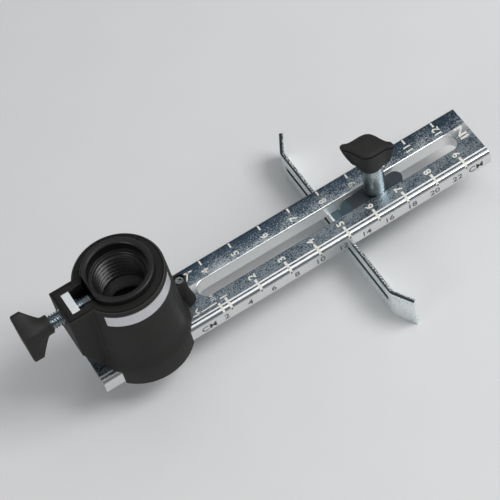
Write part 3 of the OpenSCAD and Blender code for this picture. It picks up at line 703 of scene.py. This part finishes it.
bm.transform(Matrix(((0, 0, 1, STUD_X0), (0, 1, 0, 0), (-1, 0, 0, CLAMP_Z), (0, 0, 0, 1))))
make_piece("threaded_stud", bm, "clamp_stud", "bright_steel", stud_zinc, "clamp_screw",
           sharp=50)


# Clamp wing: a black moulded wing with a ridge down each face, moulded round the stud's
# outer end.
def knob_outline(half_span, half_breadth, tip, ridge=0.0, steps=40):
    """A long outline with rounded tips, thickest in the middle, as points round Z.
    A ridge of 1 gives it straight sides that meet in an edge."""
    side = []
    for k in range(steps + 1):
        share = 1 - 2 * k / steps
        swell = (1 + math.cos(math.pi * share)) / 2 * (1 - ridge) + (1 - abs(share)) * ridge
        side.append(((half_span - tip) * share, tip + (half_breadth - tip) * swell))
    cap = [(-(half_span - tip) - tip * math.sin(math.radians(18 * k)),
            tip * math.cos(math.radians(18 * k))) for k in range(1, 5)]
    upper = side + cap + [(-half_span, 0.0)]
    lower = [(-x_, -y_) for x_, y_ in upper]
    return upper + lower


def loft(bm, outline, rows, neck_r):
    """A shape closed at both ends, through rows of height, share and scale. A share of 0 is
    the neck's circle and 1 the full outline."""
    loops = []
    for height, share, scale in rows:
        loop = []
        for x_, y_ in outline:
            reach = math.hypot(x_, y_)
            circle = (x_ / reach * neck_r, y_ / reach * neck_r)
            loop.append(bm.verts.new(((circle[0] + (x_ - circle[0]) * share) * scale,
                                      (circle[1] + (y_ - circle[1]) * share) * scale,
                                      height)))
        loops.append(loop)
    for low, high in zip(loops, loops[1:]):
        skin(bm, low, high)
    for loop, height in ((loops[0], rows[0][0]), (loops[-1], rows[-1][0])):
        centre = bm.verts.new((0, 0, height))
        for k in range(len(loop)):
            bm.faces.new((loop[k], loop[(k + 1) % len(loop)], centre))


knob_plastic, tree, shader, _, height, colour = plastic(
    "knob_plastic", (0.0150, 0.0142, 0.0134), grain=0.55, gloss=0.3)
finish_plastic(tree, shader, height, colour, rough=0.55, edge_radius=0.0003, rub=0.45)
WING_X, WING_L, WING_NECK_R = -28.8, 11.2, 3.6
wing_rows = [(0.0, 0.0, 0.94), (0.25, 0.0, 1.0), (1.5, 0.0, 1.0), (2.2, 0.01, 1.0)]
wing_rows += [(2.2 + 0.52 * k, (k / 10) ** 1.15, 1.0) for k in range(1, 11)]
wing_rows += [(WING_L - 0.6, 1.0, 1.0), (WING_L - 0.3, 1.0, 0.985), (WING_L - 0.1, 1.0, 0.955),
              (WING_L, 1.0, 0.91), (WING_L, 1.0, 0.5)]
bm = bmesh.new()
loft(bm, knob_outline(9.3, 4.7, 1.3, ridge=0.7), wing_rows, WING_NECK_R)
bm.transform(Matrix.Rotation(math.radians(45), 4, "Z"))
bm.transform(Matrix(((0, 0, -1, WING_X), (0, 1, 0, 0), (1, 0, 0, CLAMP_Z), (0, 0, 0, 1))))
make_piece("moulded_wing", bm, "wing", "black_plastic", knob_plastic, "clamp_wing", sharp=38)


# Bar screws: two steel socket screws, darkened by their plating. The front one goes down
# through the boss into the bar, the rear one up through the bar into the housing's floor.
screw_steel, tree, shader, where, _ = new_material("screw_steel", metallic=1.0)
stain = noise(tree, where, 1100, 3)
worn = bumped(tree, shader, stain, 0.00004, 0.6, 0.00015)
tone = mixed(tree, fade(tree, stain, 0.35, 0.65), (0.20, 0.21, 0.21, 1), (0.46, 0.47, 0.47, 1))
tree.links.new(mixed(tree, worn, tone, (0.7, 0.71, 0.71, 1)), shader.inputs["Base Color"])
tree.links.new(fade(tree, stain, 0.3, 0.7, 0.28, 0.45), shader.inputs["Roughness"])
for node in ("bar_screw_front", "bar_screw_rear"):
    smooth_copy(node, "base", "bright_steel", screw_steel)


# Edge guide: one strip of 1.5 mm steel, sheared, folded and zinc plated. Its face has a
# pressed rib and flared ends, and its tongue rises into the bar's slot under the post.
FACE_X, GUIDE_SHEET, FACE_LOW, FACE_TOP = 82.3, 1.5, -13.8, 1.2
FACE_HALF, FLARE_L, FLARE_TURN, FLARE_BEND = 38.5, 9.6, math.radians(29), 4.0
RIB_Z, RIB_HALF_W, RIB_DEPTH = -5.4, 1.5, 0.5
RIB_END, RIB_RUNOUT = 2.2, 1.2  # from the flare's corner to its end, and how it ends
TONGUE_W, TONGUE_TOP, TONGUE_END = 5.8, 5.9, 112.65
TAB_W, TAB_X, RISE_X = 20.0, 86.7, 89.7
guide_zinc, tree, shader, where, (x, y, z) = new_material(
    "guide_zinc", specular_ior_level=0.0)
coat = add(tree, "ShaderNodeGroup",
           {"Vector": where, "Dark": (0.66, 0.80, 0.83, 1), "Light": (0.97, 0.98, 0.98, 1),
            "Bias": 0.12}, node_tree=plating)
worn = bumped(tree, shader, coat.outputs["Height"], 0.00006, 0.4, 0.00025)
tone = mixed(tree, calc(tree, "MULTIPLY", worn, 0.5), coat.outputs["Color"],
             (0.9, 0.93, 0.93, 1))
# Its upper edge was sheared: dark where the blade went in, and torn bright behind.
beyond = calc(tree, "ABSOLUTE", y)
sheared = calc(tree, "MULTIPLY", fade(tree, z, 0.00105, 0.00115),
               fade(tree, beyond, 0.0095, 0.0105))
torn = fade(tree, noise(tree, where, 1800, 3, 0.7), 0.50, 0.54)
flared = calc(tree, "MAXIMUM", calc(tree, "SUBTRACT", beyond, 0.0375), 0.0)
inward = calc(tree, "SUBTRACT", x, calc(tree, "MULTIPLY", flared, 0.55))
cut = mixed(tree, torn, (0.12, 0.14, 0.15, 1), (0.95, 0.95, 0.93, 1))
cut = mixed(tree, fade(tree, inward, 0.0828, 0.0831), (0.05, 0.065, 0.075, 1), cut)
# Painted shade: the tab and the tongue under the bar are dark blue, darkest under the post.
on_tab = calc(tree, "MULTIPLY", fade(tree, x, 0.0828, 0.0834),
              fade(tree, beyond, 0.0100, 0.0090))
raised = calc(tree, "MAXIMUM", fade(tree, z, 0.0016, 0.0024), on_tab)
shade = mixed(tree, fade(tree, x, 0.0885, 0.0905), (0.09, 0.17, 0.20, 1),
              (0.013, 0.022, 0.033, 1))
tone = mixed(tree, calc(tree, "MULTIPLY", raised, 0.92), tone, shade)
# The pressed groove is painted dark: painted shade, where its flank reflects shadow.
in_groove = calc(tree, "MULTIPLY", band(tree, z, -0.0055, 0.0018, 0.0011),
                 fade(tree, beyond, 0.0368, 0.0352))
in_groove = calc(tree, "MULTIPLY", in_groove, fade(tree, x, 0.0834, 0.0832))
tone = mixed(tree, in_groove, tone, (0.035, 0.05, 0.055, 1))
tree.links.new(mixed(tree, sheared, tone, cut), shader.inputs["Base Color"])
dull = calc(tree, "MAXIMUM", in_groove, calc(tree, "MULTIPLY", raised, 0.5))
tree.links.new(calc(tree, "ADD", coat.outputs["Roughness"], calc(tree, "MULTIPLY", dull, 0.5)),
               shader.inputs["Roughness"])
tree.links.new(fade(tree, in_groove, 0, 1, 0.8, 0.0), shader.inputs["Metallic"])


def guide_path():
    """Places and facings along the strip's face, seen from above, near end first."""
    start = FACE_HALF - FLARE_BEND * math.tan(FLARE_TURN / 2)
    straight = [k * 0.5 * start / 8 for k in range(16)] + [start - 1.4, start - 1.0, start - 0.3]
    stations = [(FACE_X, y_, 0.0) for y_ in straight]
    for k in range(9):
        turn = FLARE_TURN * k / 8
        stations.append((FACE_X + FLARE_BEND * (1 - math.cos(turn)),
                         start + FLARE_BEND * math.sin(turn), turn))
    x_, y_, turn = stations[-1]
    rest = FLARE_L - FLARE_BEND * math.tan(FLARE_TURN / 2)
    for share in (0.03, 0.5, 1.0):
        stations.append((x_ + math.sin(turn) * rest * share, y_ + math.cos(turn) * rest * share,
                         turn))
    mirrored = [(x_, -y_, -turn) for x_, y_, turn in reversed(stations[1:])]
    return mirrored + stations


def rib_depth(y_, z_):
    """How far the rib is pressed in at a place on the face."""
    across = max(0.0, 1 - abs(z_ - RIB_Z) / RIB_HALF_W)
    along = min(1.0, max(0.0, (FACE_HALF - RIB_END - abs(y_)) / RIB_RUNOUT))
    return RIB_DEPTH * math.sin(math.pi / 2 * across) * along


bm = bmesh.new()
heights = [FACE_LOW, FACE_LOW + 2.5, RIB_Z - 2.4, RIB_Z - 1.55]
heights += [RIB_Z + RIB_HALF_W * k / 6 for k in range(-6, 7)]
heights += [RIB_Z + 1.55, RIB_Z + 2.4, -1.5, FACE_TOP]
shells = []
for inset in (0.0, GUIDE_SHEET):
    rows = []
    for height in heights:
        row = []
        for x_, y_, turn in guide_path():
            out = inset + rib_depth(y_, height)
            row.append(bm.verts.new((x_ + math.cos(turn) * out, y_ - math.sin(turn) * out,
                                     height)))
        rows.append(row)
    for low, high in zip(rows, rows[1:]):
        skin(bm, low, high, closed=False)
    shells.append(rows)
front, back = shells
skin(bm, front[0], back[0], closed=False)
skin(bm, front[-1], back[-1], closed=False)
for end in (0, -1):
    skin(bm, [row[end] for row in front], [row[end] for row in back], closed=False)


def folded(bm, centre_line, width, sheet):
    """A strip of sheet along X whose top follows points in X and Z, with its own normals."""
    tops, unders = [], []
    for k, (x_, z_) in enumerate(centre_line):
        before, after = centre_line[max(k - 1, 0)], centre_line[min(k + 1, len(centre_line) - 1)]
        run = Vector((after[0] - before[0], after[1] - before[1])).normalized()
        tops.append([bm.verts.new((x_, s * width / 2, z_)) for s in (-1, 1)])
        unders.append([bm.verts.new((x_ + run.y * sheet, s * width / 2, z_ - run.x * sheet))
                       for s in (-1, 1)])
    rings = [[top[0], top[1], under[1], under[0]] for top, under in zip(tops, unders)]
    for low, high in zip(rings, rings[1:]):
        skin(bm, low, high)
    bm.faces.new(rings[0])
    bm.faces.new(rings[-1])


tab_top = FACE_TOP - 0.03  # just under the strip's cut edge
folded(bm, [(FACE_X + 1.0, tab_top), (TAB_X - 0.6, tab_top), (TAB_X, tab_top)], TAB_W,
       GUIDE_SHEET)
NOSE_X = TONGUE_END - TONGUE_W / 2
fold = [(TAB_X - 1.6, tab_top - 0.4), (TAB_X - 0.7, tab_top), (TAB_X - 0.2, FACE_TOP + 0.15),
        (TAB_X + 0.3, FACE_TOP + 0.6), (RISE_X - 0.9, TONGUE_TOP - 0.7),
        (RISE_X - 0.4, TONGUE_TOP - 0.2), (RISE_X + 0.2, TONGUE_TOP), (RISE_X + 1.0, TONGUE_TOP),
        (NOSE_X, TONGUE_TOP)]
folded(bm, fold, TONGUE_W, GUIDE_SHEET)
nose = []
for height in (TONGUE_TOP, TONGUE_TOP - GUIDE_SHEET):
    nose.append([bm.verts.new((NOSE_X + TONGUE_W / 2 * math.cos(math.radians(7.5 * k - 90)),
                               TONGUE_W / 2 * math.sin(math.radians(7.5 * k - 90)), height))
                 for k in range(25)])
skin(bm, *nose)
for loop in nose:
    bm.faces.new(loop)
make_piece("folded_guide", bm, "carriage", "plated_steel", guide_zinc, "edge_guide", sharp=28)


# Carriage nut: a flanged steel nut under the tongue, its barrel between the slot's folded
# edges. The post screws into it.
smooth_copy("carriage_nut", "carriage", "plated_steel", guide_zinc)


# Clamp post: turned and polished steel, with a shoulder that presses the tongue and the
# bar together, and a point below the bar.
post_steel, tree, shader, where, _ = new_material("post_steel", metallic=1.0)
turned = noise(tree, stretched(tree, where, 1, 1, 60), 90, 3)
smudge = fade(tree, noise(tree, where, 240, 2), 0.35, 0.7)
tree.links.new(mixed(tree, smudge, (0.40, 0.45, 0.46, 1), (0.56, 0.60, 0.60, 1)),
               shader.inputs["Base Color"])
tree.links.new(fade(tree, smudge, 0, 1, 0.2, 0.3), shader.inputs["Roughness"])
bumped(tree, shader, turned, 0.00001, 0.6, 0.0002)
smooth_copy("pivot_post", "post", "bright_steel", post_steel, sharp=25)


# Post knob: black moulded plastic like the wing, pushed on the post's head. A shallow
# groove runs round it under the thin cap, painted near black as painted shade.
POST_X, KNOB_LOW, KNOB_TOP = 101.35, 22.0, 34.0
CAP_T, GROOVE_T, NECK_R = 1.0, 0.5, 4.35
body_top = KNOB_TOP - CAP_T - GROOVE_T
knob_rows = [(KNOB_LOW, 0.0, 0.96), (KNOB_LOW + 0.15, 0.0, 1.0)]
for k in range(1, 25):
    t = 1 - (k / 24) ** 1.6
    knob_rows.append((body_top - t * (body_top - KNOB_LOW - 0.15),
                      (1 - t ** 1.12) ** 0.4, 1.0))
knob_rows += [(body_top + 0.05, 1.0, 0.93), (KNOB_TOP - CAP_T - 0.05, 1.0, 0.93),
              (KNOB_TOP - CAP_T, 1.0, 0.99), (KNOB_TOP - CAP_T + 0.1, 1.0, 1.0),
              (KNOB_TOP - 0.75, 1.0, 1.0), (KNOB_TOP - 0.5, 1.0, 0.985),
              (KNOB_TOP - 0.36, 1.0, 0.955), (KNOB_TOP - 0.28, 1.0, 0.92),
              (KNOB_TOP - 0.14, 1.0, 0.7), (KNOB_TOP - 0.05, 1.0, 0.4), (KNOB_TOP, 1.0, 0.05)]
bm = bmesh.new()
loft(bm, knob_outline(9.9, 5.3, 1.3), knob_rows, NECK_R)
bm.transform(Matrix.Translation((POST_X, 0, 0)) @ Matrix.Rotation(math.radians(-34), 4, "Z"))
knob = make_piece("moulded_knob", bm, "knob", "black_plastic", knob_plastic, "post_knob",
                  sharp=50)
# The groove's faces take a near-black plastic: painted shade in the groove.
groove_shade_plastic, tree, shader, _, height, colour = plastic(
    "groove_shade_plastic", (0.003, 0.003, 0.003), grain=0.3, gloss=0.1)
finish_plastic(tree, shader, height, colour, rough=0.8, edge_radius=0.0001, rub=0.0)
knob.data.materials.append(groove_shade_plastic)
for face in knob.data.polygons:
    if body_top - 0.01 < face.center.z / MM < KNOB_TOP - CAP_T + 0.01:
        face.material_index = 1


# Studio: a plain pale floor and three soft lamps. One stands to the right in front, a long
# softbox hangs overhead and shows in the bar's fold, and a weak one fills in from the left.
FLOOR_Z = -0.0139  # just under the strip's lower edge, on which the guide stands
bpy.ops.mesh.primitive_plane_add(size=4, location=(0.05, 0, FLOOR_Z))
floor = bpy.context.object
floor.name = "floor"
floor_paper, tree, shader, where, _ = new_material("floor_paper", roughness=0.9)
tree.links.new(mixed(tree, noise(tree, where, 40), (0.80, 0.80, 0.80, 1), (0.83, 0.83, 0.83, 1)),
               shader.inputs["Base Color"])
floor.data.materials.append(floor_paper)
world = bpy.data.worlds.new("studio")
scene.world = world
world.use_nodes = True
world.node_tree.nodes["Background"].inputs["Color"].default_value = (0.94, 0.97, 1, 1)
world.node_tree.nodes["Background"].inputs["Strength"].default_value = 0.3
AIM = Vector((0.06, 0, 0.01))
for name, place, wide, high, power in (("key", (0.5, -0.26, 0.68), 0.4, 0.4, 3.7),
                                       ("overhead", (0.22, 0.03, 0.9), 1.0, 0.3, 0.9),
                                       ("fill", (-0.55, -0.25, 0.3), 0.3, 0.3, 0.7)):
    lamp = bpy.data.lights.new(name, "AREA")
    lamp.shape = "RECTANGLE"
    lamp.size, lamp.size_y = wide, high
    lamp.energy = power
    stand = bpy.data.objects.new(name, lamp)
    stand.location = place
    stand.rotation_euler = (AIM - Vector(place)).to_track_quat("-Z", "Y").to_euler()
    scene.collection.objects.link(stand)


# Camera: it looks from above the front left along the bar, turned so that the bar runs up
# to the right.
CAMERA_PLACE, LENS = (-0.08514, -0.43267, 0.68088), 160.5
azimuth, elevation, roll = (math.radians(a) for a in (-17.14, 55.83, 16.47))
looks_along = Vector((-math.sin(azimuth) * math.cos(elevation),
                      math.cos(azimuth) * math.cos(elevation),
                      -math.sin(elevation)))
level_right = Vector((math.cos(azimuth), math.sin(azimuth), 0))
level_down = looks_along.cross(level_right)
right = math.cos(roll) * level_right + math.sin(roll) * level_down
down = -math.sin(roll) * level_right + math.cos(roll) * level_down
camera_data = bpy.data.cameras.new("camera")
camera_data.sensor_width = 36
camera_data.lens = LENS
camera_data.clip_start = 0.05
camera_data.clip_end = 20
camera = bpy.data.objects.new("camera", camera_data)
scene.collection.objects.link(camera)
facing = Matrix((right, -down, -looks_along)).transposed().to_4x4()
camera.matrix_world = Matrix.Translation(CAMERA_PLACE) @ facing
scene.camera = camera
scene.view_settings.view_transform = "Standard"
